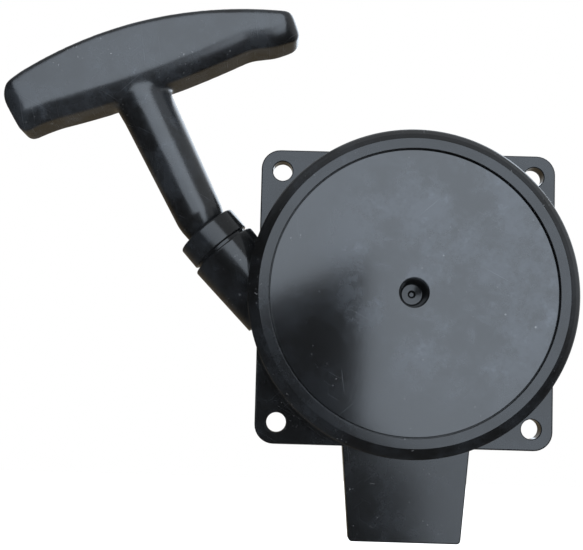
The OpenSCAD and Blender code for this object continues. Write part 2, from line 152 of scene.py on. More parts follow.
HANDLE = Matrix.Translation(MOUTH) @ Matrix.Rotation(STEM_ANGLE, 4, "Z")
UP_STEM = Matrix.Rotation(math.radians(90), 4, "Y")
GRIP_ON_HANDLE = Matrix.Translation(GRIP_CENTER) @ Matrix.Rotation(GRIP_ANGLE - STEM_ANGLE, 4, "Z")


# ---------------------------------------------------------------- mesh tools

def mesh_object(name, verts, faces, place=STILL):
    """A closed mesh as an object, with its faces turned outward."""
    mesh = bpy.data.meshes.new(name)
    mesh.from_pydata([tuple(v) for v in verts], [], faces)
    mesh.transform(place)
    turned = bmesh.new()
    turned.from_mesh(mesh)
    bmesh.ops.recalc_face_normals(turned, faces=turned.faces)
    turned.to_mesh(mesh)
    turned.free()
    made = bpy.data.objects.new(name, mesh)
    bpy.context.scene.collection.objects.link(made)
    return made


def rounded(corners, steps=5):
    """Closed outline from (x, y) or (x, y, radius) corners, with an arc at each corner that has a radius."""
    outline = []
    for i, corner in enumerate(corners):
        here = Vector(corner[:2])
        if len(corner) < 3:
            outline.append(here)
            continue
        radius = corner[2]
        back = (Vector(corners[i - 1][:2]) - here).normalized()
        ahead = (Vector(corners[(i + 1) % len(corners)][:2]) - here).normalized()
        half = back.angle(ahead) / 2
        middle = here + (back + ahead).normalized() * (radius / math.sin(half))
        start = here + back * (radius / math.tan(half)) - middle
        end = here + ahead * (radius / math.tan(half)) - middle
        first = math.atan2(start.y, start.x)
        sweep = (math.atan2(end.y, end.x) - first + math.pi) % (2 * math.pi) - math.pi
        for k in range(steps + 1):
            a = first + sweep * k / steps
            outline.append(middle + radius * Vector((math.cos(a), math.sin(a))))
    return outline


def lathe(name, profile, steps=192, place=STILL):
    """Solid of revolution about z from a closed (radius, z) outline."""
    verts, rings = [], []
    for radius, z in profile:
        first = len(verts)
        if radius < TINY:
            verts.append((0, 0, z))
            rings.append([first] * steps)
            continue
        for k in range(steps):
            a = 2 * math.pi * k / steps
            verts.append((radius * math.cos(a), radius * math.sin(a), z))
        rings.append(list(range(first, first + steps)))
    faces = []
    for one, two in zip(rings, rings[1:] + rings[:1]):
        for k in range(steps):
            n = (k + 1) % steps
            corners = list(dict.fromkeys([one[k], one[n], two[n], two[k]]))
            if len(corners) > 2:
                faces.append(corners)
    return mesh_object(name, verts, faces, place)


def inset(outline, depth):
    """The outline moved inward by depth; its corners are rounder than that."""
    moved = []
    for i, here in enumerate(outline):
        back = (here - outline[i - 1]).normalized()
        ahead = (outline[(i + 1) % len(outline)] - here).normalized()
        side = Vector((-back.y, back.x)) + Vector((-ahead.y, ahead.x))
        side.normalize()
        moved.append(here + side * (depth / max(0.2, side.dot(Vector((-ahead.y, ahead.x))))))
    return moved


def slab(name, outline, low, high, edge, place=STILL, steps=4):
    """Plate between two heights, with rounded edges. The outline runs anticlockwise."""
    levels = []
    for k in range(steps + 1):
        a = math.radians(90) * k / steps
        levels.append((edge * (1 - math.sin(a)), low + edge * (1 - math.cos(a))))
    levels += [(depth, low + high - z) for depth, z in reversed(levels)]
    verts = []
    for depth, z in levels:
        verts += [(p.x, p.y, z) for p in inset(outline, depth)]
    count = len(outline)
    faces = [list(range(count)), list(range(len(verts) - count, len(verts)))]
    for layer in range(len(levels) - 1):
        for k in range(count):
            a, b = layer * count + k, layer * count + (k + 1) % count
            faces.append([a, b, b + count, a + count])
    return mesh_object(name, verts, faces, place)


def settle(target):
    """Applies the modifiers of target to its mesh."""
    bpy.context.view_layer.update()
    graph = bpy.context.evaluated_depsgraph_get()
    shape = bpy.data.meshes.new_from_object(target.evaluated_get(graph))
    target.modifiers.clear()
    target.data = shape


def combine(target, tool, operation):
    """Joins or cuts target with tool, and removes tool."""
    modifier = target.modifiers.new("combine", "BOOLEAN")
    modifier.operation = operation
    modifier.solver = "EXACT"
    modifier.object = tool
    settle(target)
    bpy.data.objects.remove(tool)


def join(target, tool):
    combine(target, tool, "UNION")


def cut(target, tool):
    combine(target, tool, "DIFFERENCE")


def remesh(target, voxel):
    modifier = target.modifiers.new("remesh", "REMESH")
    modifier.mode = "VOXEL"
    modifier.voxel_size = voxel
    settle(target)


def sweep(name, path, radius, sides=12, strands=0, relief=0.0, pitch=1.0):
    """Round tube along a path, with UVs round it and along it. strands raise a braid by relief."""
    path = np.array(path, float)
    heading = np.gradient(path, axis=0)
    heading /= np.linalg.norm(heading, axis=1)[:, None]
    along = np.concatenate([[0], np.cumsum(np.linalg.norm(np.diff(path, axis=0), axis=1))])
    side = np.cross(heading[0], [0.13, 0.21, 0.97])
    side /= np.linalg.norm(side)
    turns = 2 * math.pi * np.arange(sides) / sides
    rings = []
    for i in range(len(path)):
        side = side - heading[i] * (side @ heading[i])
        side /= np.linalg.norm(side)
        up = np.cross(heading[i], side)
        crossing = np.maximum(
            np.sin(strands * turns + 2 * math.pi * along[i] / pitch),
            np.sin(strands * turns - 2 * math.pi * along[i] / pitch),
        )
        reach = radius - relief * (1 - crossing) / 2
        rings.append(path[i] + np.outer(np.cos(turns) * reach, side) + np.outer(np.sin(turns) * reach, up))
    verts = np.concatenate(rings)
    faces = []
    for i in range(len(path) - 1):
        for k in range(sides):
            n = (k + 1) % sides
            faces.append([i * sides + k, i * sides + n, (i + 1) * sides + n, (i + 1) * sides + k])
    faces.append(list(range(sides)))
    faces.append(list(range(len(verts) - sides, len(verts))))
    made = mesh_object(name, verts, faces)
    uv = made.data.uv_layers.new(name="UVMap")
    for polygon in made.data.polygons:
        spots = [(made.data.loops[i].vertex_index, i) for i in polygon.loop_indices]
        seam = any(v % sides == sides - 1 for v, _ in spots) and len(spots) == 4
        for v, i in spots:
            around = v % sides
            if seam and around == 0:
                around = sides
            uv.data[i].uv = (around / sides, along[v // sides] / 100)
    return made


def shade(target, sharp=32):
    """Smooth shading, with edges sharper than an angle kept crisp and flat faces kept flat."""
    target.data.polygons.foreach_set("use_smooth", [True] * len(target.data.polygons))
    target.data.set_sharp_from_angle(angle=math.radians(sharp))
    weighted = target.modifiers.new("flat faces", "WEIGHTED_NORMAL")
    weighted.keep_sharp = True
    weighted.weight = 100


def place_piece(piece, body, material, nodes):
    """Moves a finished piece into the frame, gives it its looks, hangs it on its body if it has one and hides the
    CAD nodes that it stands for.
    """
    piece.data.transform(TO_FRAME)
    piece.data.materials.clear()
    piece.data.materials.append(material)
    if body:
        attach(piece, body)
    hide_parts(*nodes)
    return piece


# ---------------------------------------------------------------- materials

class Look:
    """A material and short calls for the nodes that it is made of. Positions are in metres."""

    def __init__(self, name, coordinates="Object"):
        self.material = bpy.data.materials.new(name)
        self.material.use_nodes = True
        self.tree = self.material.node_tree
        self.shader = self.tree.nodes["Principled BSDF"]
        self.where = self.node("ShaderNodeTexCoord").outputs[coordinates]

    def node(self, kind, inputs=None, **settings):
        made = self.tree.nodes.new(kind)
        for key, value in settings.items():
            setattr(made, key, value)
        for key, value in (inputs or {}).items():
            if isinstance(value, bpy.types.NodeSocket):
                self.tree.links.new(value, made.inputs[key])
            else:
                made.inputs[key].default_value = value
        return made

    def noise(self, scale, detail=4, roughness=0.55, where=None, distortion=0):
        return self.node("ShaderNodeTexNoise", {
            "Vector": where or self.where, "Scale": scale, "Detail": detail,
            "Roughness": roughness, "Distortion": distortion,
        }).outputs["Fac"]

    def stretched(self, turn, size):
        """Coordinates turned about Y, then scaled by size."""
        rotation = (0, math.radians(turn), 0)
        turned = self.node("ShaderNodeMapping", {"Vector": self.where, "Rotation": rotation}).outputs[0]
        return self.node("ShaderNodeMapping", {"Vector": turned, "Scale": size}).outputs[0]

    def remap(self, value, low, high, to_low=0.0, to_high=1.0):
        return self.node("ShaderNodeMapRange", {
            "Value": value, "From Min": low, "From Max": high, "To Min": to_low, "To Max": to_high,
        }, interpolation_type="SMOOTHSTEP").outputs["Result"]

    def math(self, operation, one, two=0.0):
        return self.node("ShaderNodeMath", {0: one, 1: two}, operation=operation).outputs[0]

    def mix(self, share, one, two):
        made = self.node("ShaderNodeMix", data_type="RGBA")
        for key, value in ((0, share), (6, one), (7, two)):
            if isinstance(value, bpy.types.NodeSocket):
                self.tree.links.new(value, made.inputs[key])
            else:
                made.inputs[key].default_value = value
        return made.outputs[2]

    def bump(self, height, distance, normal=None, strength=1.0):
        inputs = {"Height": height, "Distance": distance, "Strength": strength}
        if normal:
            inputs["Normal"] = normal
        return self.node("ShaderNodeBump", inputs).outputs["Normal"]

    def edges(self, radius):
        """1 on an edge of the shape and 0 away from it."""
        softened = self.node("ShaderNodeBevel", {"Radius": radius}, samples=4).outputs[0]
        plain = self.node("ShaderNodeNewGeometry").outputs["Normal"]
        facing = self.node("ShaderNodeVectorMath", {0: softened, 1: plain}, operation="DOT_PRODUCT")
        return self.remap(facing.outputs["Value"], 0.99, 0.86)

    def scratches(self, turns, across=2600, along=26, low=0.69, high=0.78):
        """Fine straight scratches in a few directions, patchy over the surface."""
        total = None
        for turn in turns:
            lines = self.noise(1, 2, 0.5, self.stretched(turn, (across, along, along)))
            patch = self.remap(self.noise(30 + turn * 0.07, 2), 0.45, 0.62)
            layer = self.math("MULTIPLY", self.remap(lines, low, high), patch)
            total = layer if total is None else self.math("MAXIMUM", total, layer)
        return total

    def set(self, **sockets):
        for key, value in sockets.items():
            socket = self.shader.inputs[key.replace("_", " ")]
            if isinstance(value, bpy.types.NodeSocket):
                self.tree.links.new(value, socket)
            else:
                socket.default_value = value
        return self.material


def grey(value, blue=0.0):
    return (value, value + blue * 0.4, value + blue, 1)


def black_plastic(name, tone, gloss, shine, smudge_sheen_amount, scratch, wear, sheen_spot=None):
    """Moulded black plastic: smudges that are partly painted sheen, fine scratches, dust specks and paler worn
    edges.

    The smudge film thins out away from the sheen spot, if there is one; that paints sheen near the spot and
    painted shade further off."""
    look = Look(name)
    clouds = look.remap(look.noise(48, 6, 0.72), 0.40, 0.64)
    spots = look.remap(look.noise(150, 5, 0.65), 0.42, 0.70)
    streaks = look.remap(look.noise(1, 3, 0.6, look.stretched(70, (150, 60, 55))), 0.5, 0.8, 0.0, 0.45)
    # Pale bluish film: partly real smudges, partly painted sheen standing in for the mottled reflection of the key
    # light.
    smudge_and_sheen = look.math("MAXIMUM", look.math("MULTIPLY", clouds, spots), look.math("MULTIPLY", clouds, 0.55))
    smudge_and_sheen = look.math("MULTIPLY", look.math("MAXIMUM", smudge_and_sheen, streaks), smudge_sheen_amount)
    # Painted light: the film fades away from the given spot, so the surface is painted paler where the key light
    # reflects and darker (painted shade) further off.
    if sheen_spot:
        away = look.node("ShaderNodeVectorMath", {0: look.where, 1: sheen_spot}, operation="DISTANCE")
        smudge_and_sheen = look.math("MULTIPLY", smudge_and_sheen, look.remap(away.outputs["Value"], 0.03, 0.065, 1.0, 0.2))
    lines = look.math("MULTIPLY", look.scratches((8, 62, 131)), scratch)
    specks = look.remap(look.noise(900, 1, 0.4), 0.71, 0.77)
    specks = look.math("MULTIPLY", specks, look.remap(look.noise(70, 3), 0.5, 0.7))
    worn = look.math("MULTIPLY", look.edges(0.0007), look.remap(look.noise(240, 4), 0.35, 0.7, 0.25, 1.0))
    worn = look.math("MULTIPLY", worn, wear)
    colour = look.mix(smudge_and_sheen, grey(tone), grey(0.046, 0.016))
    colour = look.mix(look.math("MULTIPLY", lines, 0.5), colour, grey(0.10, 0.01))
    colour = look.mix(look.math("MULTIPLY", specks, 0.5), colour, grey(0.22))
    colour = look.mix(look.math("MULTIPLY", worn, 0.4), colour, grey(0.075))
    rough = look.math("ADD", look.math("MULTIPLY", smudge_and_sheen, 0.07), gloss)
    rough = look.math("ADD", rough, look.math("MULTIPLY", lines, 0.22))
    rough = look.math("ADD", rough, look.math("MULTIPLY", worn, 0.15))
    normal = look.bump(look.noise(24, 1, 0.4), 0.00055, strength=0.12)
    normal = look.bump(look.noise(1100, 2), 0.000004, normal, 0.5)
    normal = look.bump(lines, -0.000006, normal, 0.6)
    look.set(Specular_IOR_Level=shine)
    return look.set(Base_Color=colour, Roughness=rough, Normal=normal)


def glass_nylon(name):
    """Glass-filled nylon: dull, with a mottled flow and fine fibres in the skin."""
    look = Look(name)
    flow = look.remap(look.noise(60, 6, 0.6, distortion=1.2), 0.3, 0.7)
    fibres = look.remap(look.noise(1, 3, 0.6, look.stretched(35, (2200, 300, 300))), 0.6, 0.75)
    worn = look.math("MULTIPLY", look.edges(0.0006), look.remap(look.noise(260, 3), 0.4, 0.65))
    colour = look.mix(flow, grey(0.055, 0.003), grey(0.10, 0.006))
    colour = look.mix(look.math("MULTIPLY", fibres, 0.25), colour, grey(0.25))
    colour = look.mix(look.math("MULTIPLY", worn, 0.4), colour, grey(0.24))
    rough = look.remap(flow, 0, 1, 0.40, 0.55)
    normal = look.bump(look.noise(900, 4), 0.00004, strength=0.6)
    return look.set(Base_Color=colour, Roughness=rough, Normal=normal)


def metal(name, tone, rough=0.32, stain=(0.2, 0.17, 0.12, 1), brush=0.5, tarnish=0.3):
    """Plated or bare metal: fine machining marks, blotchy sheen and brighter rubbed edges."""
    look = Look(name)
    blotches = look.remap(look.noise(150, 6, 0.65), 0.4, 0.75)
    marks = look.noise(1, 2, 0.5, look.stretched(15, (2400, 300, 40)))
    worn = look.math("MULTIPLY", look.edges(0.0004), look.remap(look.noise(420, 3), 0.3, 0.6))
    bright = tuple(min(1.0, c * 1.35 + 0.05) for c in tone[:3]) + (1,)
    colour = look.mix(look.math("MULTIPLY", blotches, tarnish), tone, stain)
    colour = look.mix(look.math("MULTIPLY", worn, 0.6), colour, bright)
    roughness = look.math("ADD", look.math("MULTIPLY", blotches, 0.16), rough)
    roughness = look.math("ADD", roughness, look.math("MULTIPLY", marks, brush * 0.15))
    normal = look.bump(marks, 0.00001, strength=brush)
    look.set(Metallic=1.0)
    return look.set(Base_Color=colour, Roughness=roughness, Normal=normal)


def rope_by_uv(name, strands=8, pitch=BRAID_PITCH):
    """Braided rope whose strands follow the piece's own UVs: turns round, and 100 mm along."""
    look = Look(name, "UV")
    split = look.node("ShaderNodeSeparateXYZ", {0: look.where})
    along = look.math("MULTIPLY", split.outputs[1], 100 * 2 * math.pi / pitch)
    return braid(look, split.outputs[0], along, strands)


def rope_by_place(name, strands=8, pitch=BRAID_PITCH):
    """Braided rope along the pull line, its strands worked out from where a point is."""
    look = Look(name)
    centre = TO_FRAME @ MOUTH
    shifted = look.node("ShaderNodeVectorMath", {0: look.where, 1: centre}, operation="SUBTRACT").outputs[0]
    pull = Vector((math.cos(STEM_ANGLE), 0, math.sin(STEM_ANGLE)))
    side = Vector((-pull.z, 0, pull.x))
    reach = [
        look.node("ShaderNodeVectorMath", {0: shifted, 1: axis}, operation="DOT_PRODUCT").outputs["Value"]
        for axis in (pull, side, Vector((0, 1, 0)))
    ]
    around = look.math("DIVIDE", look.math("ARCTAN2", reach[1], reach[2]), 2 * math.pi)
    along = look.math("MULTIPLY", reach[0], 2 * math.pi / (pitch * MM))
    return braid(look, around, along, strands)


def braid(look, around, along, strands):
    """Strands that wind both ways, each painted lighter on its crown and darker in the valleys between strands
    (painted highlight and painted shade), with loose fibres and grime.
    """
    angle = look.math("MULTIPLY", around, 2 * math.pi * strands)
    one = look.math("SINE", look.math("ADD", angle, along))
    two = look.math("SINE", look.math("SUBTRACT", angle, along))
    crown = look.math("MAXIMUM", one, two)
    height = look.remap(crown, -0.4, 1.0)
    grime = look.remap(look.noise(9, 4), 0.4, 0.7)
    fibre = look.noise(160, 3)
    # Painted shade and highlight: dark in the valleys between strands, light on their crowns, following the
    # braid's height.
    colour = look.mix(height, (0.20, 0.18, 0.15, 1), (0.66, 0.63, 0.56, 1))
    colour = look.mix(look.math("MULTIPLY", grime, 0.4), colour, (0.30, 0.27, 0.22, 1))
    colour = look.mix(look.math("MULTIPLY", fibre, 0.25), colour, (0.75, 0.73, 0.68, 1))
    normal = look.bump(height, 0.0004, strength=0.8)
    normal = look.bump(fibre, 0.00005, normal, 0.5)
    look.set(Sheen_Weight=0.3)
    return look.set(Base_Color=colour, Roughness=0.75, Normal=normal)


def pale_floor(name):
    look = Look(name)
    tone = look.mix(look.remap(look.noise(3, 4), 0.3, 0.7), grey(0.80), grey(0.83))
    look.set(Emission_Color=grey(1.0), Emission_Strength=0.9)
    return look.set(Base_Color=tone, Roughness=0.9)


HOUSING_LOOK = black_plastic("black_housing", 0.005, 0.14, 0.33, 0.22, 0.35, 0.7)
# Spot on the disc's upper right where the key light reflects; the disc's film is densest there, painting sheen
# there and painted shade at the disc's lower left.
SHEEN_SPOT = (0.022, -0.034, 0.012)
DISC_LOOK = black_plastic("black_disc", 0.005, 0.10, 0.5, 0.9, 0.9, 0.8, SHEEN_SPOT)
GUIDE_LOOK = black_plastic("black_guide", 0.005, 0.16, 0.30, 0.2, 0.3, 0.6)
HANDLE_LOOK = black_plastic("black_handle", 0.005, 0.25, 0.48, 0.4, 0.4, 0.4)
NYLON_LOOK = glass_nylon("reel_nylon_look")
ZINC_LOOK = metal("zinc_plate", (0.60, 0.60, 0.58, 1), 0.30, (0.42, 0.38, 0.26, 1))
SPRING_LOOK = metal("blued_spring", (0.20, 0.21, 0.24, 1), 0.28, (0.10, 0.09, 0.09, 1))
PAWL_LOOK = metal("tumbled_steel", (0.42, 0.41, 0.40, 1), 0.38, (0.22, 0.17, 0.12, 1), 0.25, 0.5)
BRASS_LOOK = metal("turned_brass", (0.72, 0.55, 0.27, 1), 0.25, (0.35, 0.24, 0.10, 1))
ROPE_LOOK = rope_by_uv("rope_turns")
LEAD_LOOK = rope_by_place("rope_line")


# ---------------------------------------------------------------- housing

EDGE = 0.6


def square_outline(half, corner_r):
    signs = [(1, -1), (1, 1), (-1, 1), (-1, -1)]
    return rounded([(x * half, y * half, corner_r) for x, y in signs], 8)


def drum():
    """Drum wall, shoulder, front ring, disc seat, front wall and centre post, all one turned outline."""
    inner_r = DRUM_R - DRUM_WALL
    seat_r = DISC_R + 0.32
    arbor_r = 11
    arbor_z = reel_high.z - 9.1
    spindle_r = 6
    spindle_z = 8
    insert_r = 3.4
    insert_z = 21
    dimple_z = DISC_BACK - 6.8
    pit_d = 1
    return lathe("housing_drum", rounded([
        (inner_r, 0, 0.4),
        (DRUM_R, 0, 0.5),
        (DRUM_R, DRUM_DEPTH - 3.6, 0.8),
        (DRUM_R - 0.7, DRUM_DEPTH - 2.6, 0.8),
        (DRUM_R - 2.2, DRUM_DEPTH - 1.2, 0.8),
        (RING_R + 0.5, DRUM_DEPTH - 0.25, 0.35),
        (RING_R, DRUM_DEPTH, 0.3),
        (seat_r, DRUM_DEPTH, 0.2),
        (seat_r, DISC_BACK),
        (DIMPLE_SEAT_R, DISC_BACK),
        (4.1, dimple_z, 0.5),
        (1.5, dimple_z, 0.15),
        (0.8, dimple_z - pit_d),
        (0, dimple_z - pit_d),
        (0, insert_z),
        (insert_r, insert_z),
        (insert_r, spindle_z, 0.3),
        (spindle_r, spindle_z, 0.5),
        (spindle_r, arbor_z),
        (arbor_r, arbor_z, 0.4),
        (arbor_r, CEILING, 1.0),
        (inner_r, CEILING, 1.5),
    ], 4), 256)


def tongue():
    """Shallow trough below the flange, open at the back and at its end."""
    top, wall = -FLANGE_HALF + 6, 2.4
    half_top, half_end = 25.4, 21.8
    aside = Matrix.Translation((1.2, 0, 0))
    body = slab("tongue", rounded([
        (-half_top, top), (-half_end, -TONGUE_REACH, 1.6), (half_end, -TONGUE_REACH, 1.6), (half_top, top),
    ]), 0, FLANGE_T, 0.5, aside)
    floor_z = FLANGE_T - wall
    hollow_top = half_top - wall - 0.4
    cut(body, slab("hollow", rounded([
        (-half_end + wall, -TONGUE_REACH - 3), (half_end - wall, -TONGUE_REACH - 3),
        (hollow_top, -FLANGE_HALF, 2), (-hollow_top, -FLANGE_HALF, 2),
    ]), -2, floor_z, 0.5, aside))
    return body


def bolt_hole(x, y):
    r, lip = BOLT_HOLE_R, 0.35
    return lathe("hole", [
        (0, -1),
        (r + lip + 1, -1),
        (r, lip),
        (r, FLANGE_T - lip),
        (r + lip + 1, FLANGE_T + 1),
        (0, FLANGE_T + 1),
    ], 64, Matrix.Translation((x, y, 0)))


def make_housing():
    outline = square_outline(FLANGE_HALF, FLANGE_CORNER_R)
    body = slab("starter_housing", outline, 0, FLANGE_T, EDGE)
    fillet = 1.4
    root = lathe("root", rounded([
        (DRUM_R - 1, FLANGE_T - 1),
        (DRUM_R + fillet, FLANGE_T - 1),
        (DRUM_R + fillet, FLANGE_T),
        (DRUM_R, FLANGE_T + fillet),
        (DRUM_R - 1, FLANGE_T + fillet),
    ]), 256)
    combine(root, slab("keep", outline, FLANGE_T - 2, FLANGE_T + 4, EDGE), "INTERSECT")
    join(body, root)
    start = (DRUM_R - DRUM_WALL) / 2
    join(body, lathe("boss", rounded([
        (0, 0), (BOSS_ROOT_R, 0), (BOSS_R, BOSS_END - start, 0.7), (0, BOSS_END - start),
    ]), 96, on_rope(start)))
    join(body, tongue())
    cut(body, lathe("room", [(0, -5), (DRUM_R - 1.3, -5), (DRUM_R - 1.3, 60), (0, 60)], 256))
    join(body, drum())
    cut(body, lathe("bore", [
        (0, 0), (GUIDE_STEM_R + 0.05, 0), (GUIDE_STEM_R + 0.05, BOSS_END - start - 0.5),
        (GUIDE_STEM_R + 0.6, BOSS_END - start + 1), (0, BOSS_END - start + 1),
    ], 64, on_rope(start)))
    for x in (-1, 1):
        for y in (-1, 1):
            cut(body, bolt_hole(x * BOLT_SPACING / 2, y * BOLT_SPACING / 2))
    shade(body)
    return place_piece(body, "case", HOUSING_LOOK, ["housing"])


def make_disc():
    """Flat front disc with a fine rounded rim and a dimple at its centre."""
    body = lathe("cover_disc", rounded([
        (DIMPLE_SEAT_R, DISC_BACK),
        (DISC_R, DISC_BACK, 0.2),
        (DISC_R, DISC_FRONT, 0.3),
        (5.6, DISC_FRONT, 0.3),
    ], 5), 256)
    shade(body)
    return place_piece(body, "case", DISC_LOOK, ["front_disc"])


def make_guide():
    """Rope guide: a bush in the boss, a neck, a collar, and a funnel mouth."""
    start = 46
    stem_l = BOSS_END - start
    collar_l = MOUTH_S - BOSS_END
    collar_r = 12.5
    neck = 1.5
    neck_r = collar_r - 1.3
    bore_r = 3
    mouth_l = stem_l + collar_l
    body = lathe("rope_guide_collar", rounded([
        (bore_r, 3),
        (5.5, 0, 0.5),
        (GUIDE_STEM_R, 0, 0.5),
        (GUIDE_STEM_R, stem_l + 0.05),
        (neck_r, stem_l + 0.05),
        (neck_r, stem_l + neck, 0.25),
        (collar_r, stem_l + neck, 0.4),
        (collar_r, mouth_l, 0.8),
        (10.8, mouth_l, 0.4),
        (10.2, mouth_l - 1, 0.5),
        (bore_r, stem_l, 3),
    ]), 128, on_rope(start))
    shade(body)
    return place_piece(body, "case", GUIDE_LOOK, ["rope_guide"])


# ---------------------------------------------------------------- handle

def eased(x):
    t = np.clip(x, 0, 1)
    return t * t * (3 - 2 * t)


def grip_top(u):
    return 16.85 - (u + 3) ** 2 / 318


def grip_bottom(u):
    arch = -9.45 + 0.085 * u + 0.0012 * u * u
    return arch - 3.9 * eased((u - 36) / 16) - 1.5 * eased((-40 - u) / 16)


def grip_outline():
    """Outline of the cross grip, u along it and v across it, anticlockwise from its left end."""
    left, right = -60.1, 58.6
    bottom = [(u, grip_bottom(u)) for u in np.linspace(-48, 51, 40)]
    top = [(u, grip_top(u)) for u in np.linspace(54, -50, 40)]
    return rounded([
        (left, 6.0, 7.0),
        (left + 4.6, -12.9, 3.4),
        *bottom,
        (right + 0.5, grip_bottom(54), 3.8),
        (right - 0.6, grip_top(57), 3.0),
        *top,
    ], 8)


def lean_flanks(body):
    """Thins the grip towards its ends, rounds them, and rolls its lower flanks in."""
    spots = vertex_array(body)
    u, v, z = spots.T
    below = np.clip((grip_bottom(u) + 8.5 - v) / 8.5, 0, 1)
    left_start = -49 - 0.3 * (v + 8)
    left_end = np.clip((left_start - u) / (left_start + 60.6), 0, 1)
    right_end = np.clip((u - 53.3) / 5.8, 0, 1)
    rounding = (1 - 0.85 * np.maximum(left_end, right_end) ** 2.2) ** 0.45
    z = z * (1 - 0.08 * (u / 60) ** 2) * (1 - 0.26 * below ** 2) * rounding
    body.data.vertices.foreach_set("co", np.stack([u, v, z], 1).astype(np.float32).ravel())
    body.data.update()


def vertex_array(body):
    flat = np.zeros(len(body.data.vertices) * 3, np.float32)
    body.data.vertices.foreach_get("co", flat)
    return flat.reshape(-1, 3).astype(float)


def relax(body, weight, rounds):
    """Smooths the mesh where weight says, which fills inner corners."""
    spots = vertex_array(body)
    pairs = np.zeros(len(body.data.edges) * 2, np.int32)
    body.data.edges.foreach_get("vertices", pairs)
    one, two = pairs.reshape(-1, 2).T
    ends = np.concatenate([one, two])
    others = np.concatenate([two, one])
    count = np.bincount(ends, minlength=len(spots))[:, None]
    for _ in range(rounds):
        total = np.stack([np.bincount(ends, spots[others, k], len(spots)) for k in range(3)], 1)
        spots += 0.5 * weight[:, None] * (total / count - spots)
    body.data.vertices.foreach_set("co", spots.astype(np.float32).ravel())
    body.data.update()


STEM_PROFILE = [
    (0, -5), (4.3, -5, 0.5), (5.6, -4.1, 0.8), (7.6, -1.4, 1.5), (8.9, 3, 2), (9.4, 6, 2),
    (10.7, 52, 8), (11.3, 58, 4), (11.3, 68), (0, 68),
]


def make_handle():
    body = slab("pull_handle", grip_outline(), -GRIP_HALF_T, GRIP_HALF_T, 1.6, steps=6)
    remesh(body, 0.8)
    lean_flanks(body)
    join(body, lathe("stem", rounded(STEM_PROFILE, 4), 96, GRIP_ON_HANDLE.inverted() @ UP_STEM))
    remesh(body, 0.55)
    spots = vertex_array(body)
    on_handle = np.array([GRIP_ON_HANDLE @ Vector(p) for p in spots])
    off_axis = np.hypot(on_handle[:, 1], on_handle[:, 2])
    from_stem = np.abs(off_axis - 11.6)
    from_grip = np.abs(spots[:, 1] - grip_bottom(spots[:, 0]))
    near = np.clip(1 - np.maximum(from_stem, from_grip) / 6, 0, 1)
    relax(body, np.maximum(eased(near * 1.6), 0.12), 26)
    channel = rounded([(0, -6), (4.6, -6), (2.6, -1.5, 1), (2.6, 64), (7, 64), (7, 95), (0, 95)])
    cut(body, lathe("channel", channel, 64, GRIP_ON_HANDLE.inverted() @ UP_STEM))
    body.data.transform(HANDLE @ GRIP_ON_HANDLE)
    shade(body, 50)
    return place_piece(body, "handle", HANDLE_LOOK, ["handle_grip"])


# ---------------------------------------------------------------- rope

def line_point(s):
    return np.array((
        s * math.cos(ROPE_ANGLE) - ROPE_OFFSET * math.sin(ROPE_ANGLE),
        s * math.sin(ROPE_ANGLE) + ROPE_OFFSET * math.cos(ROPE_ANGLE),
        ROPE_Z,
    ))


def stem_point(a):
    return np.array((MOUTH.x + a * math.cos(STEM_ANGLE), MOUTH.y + a * math.sin(STEM_ANGLE), ROPE_Z))


def make_lead():
    """Rope from the winding through the guide and up the stem, with a soft bend at the guide's mouth."""
    bend = 4
    path = [line_point(s) for s in np.arange(0.5, MOUTH_S - bend, 0.6)]
    first, corner, last = line_point(MOUTH_S - bend), line_point(MOUTH_S), stem_point(bend)
    for t in np.linspace(0, 1, 9):
        path.append((1 - t) ** 2 * first + 2 * t * (1 - t) * corner + t * t * last)
    end = 65.15
    path += [stem_point(a) for a in np.arange(bend + 0.6, end, 0.6)]
    body = sweep("rope_line", path, ROPE_R, 48, 8, 0.22, BRAID_PITCH)
    shade(body, 60)
    place_piece(body, None, LEAD_LOOK, ["rope_lead"])
    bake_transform(body)
    return body


def make_winding():
    """The turns left on the reel, staggered from side to side of the groove."""
    turns = 4
    first_r = REEL_CORE_R + ROPE_R + 0.2
    last_r = winding_high.x - ROPE_R - 0.02
    middle = (winding_low.z + winding_high.z) / 2
    swing = (winding_high.z - winding_low.z) / 2 - ROPE_R - 0.02
    path = []
    for k in range(turns * 90 + 1):
        turn = k / 90
        a = 2 * math.pi * turn + math.radians(41.5)
        r = first_r + (last_r - first_r) * turn / turns
        z = middle + swing * math.cos(math.pi * (turn - 0.18 * math.sin(2 * math.pi * turn) / math.pi))
        path.append((r * math.cos(a), r * math.sin(a), z))
    body = sweep("rope_turns", path, ROPE_R, 20, 6, 0.2, BRAID_PITCH)
    shade(body, 60)
    return place_piece(body, "reel_assembly", ROPE_LOOK, ["rope_winding"])


def make_knot(name, node, body, axis, centre=None):
    """Tight knot that fills its CAD ball, at the middle of the node's box unless a centre is given."""
    low, high = box_mm(node)
    ball = min(high - low) / 2
    if centre is None:
        centre = (low + high) / 2
    thick = ball * 0.42
    size = (ball - thick) / 2.9
    turn = Vector((0, 0, 1)).rotation_difference(axis).to_matrix()
    path = []
    for k in range(145):
        t = 2 * math.pi * k / 144
        spot = Vector((
            size * (math.sin(t) + 2 * math.sin(2 * t)),
            size * (math.cos(t) - 2 * math.cos(2 * t)),
            -size * 1.25 * math.sin(3 * t),
        ))
        path.append(centre + turn @ spot)
    knot = sweep(name, path, thick, 20, 6, 0.15, 5.0)
    shade(knot, 60)
    return place_piece(knot, body, ROPE_LOOK, [node])


# ---------------------------------------------------------------- wound springs

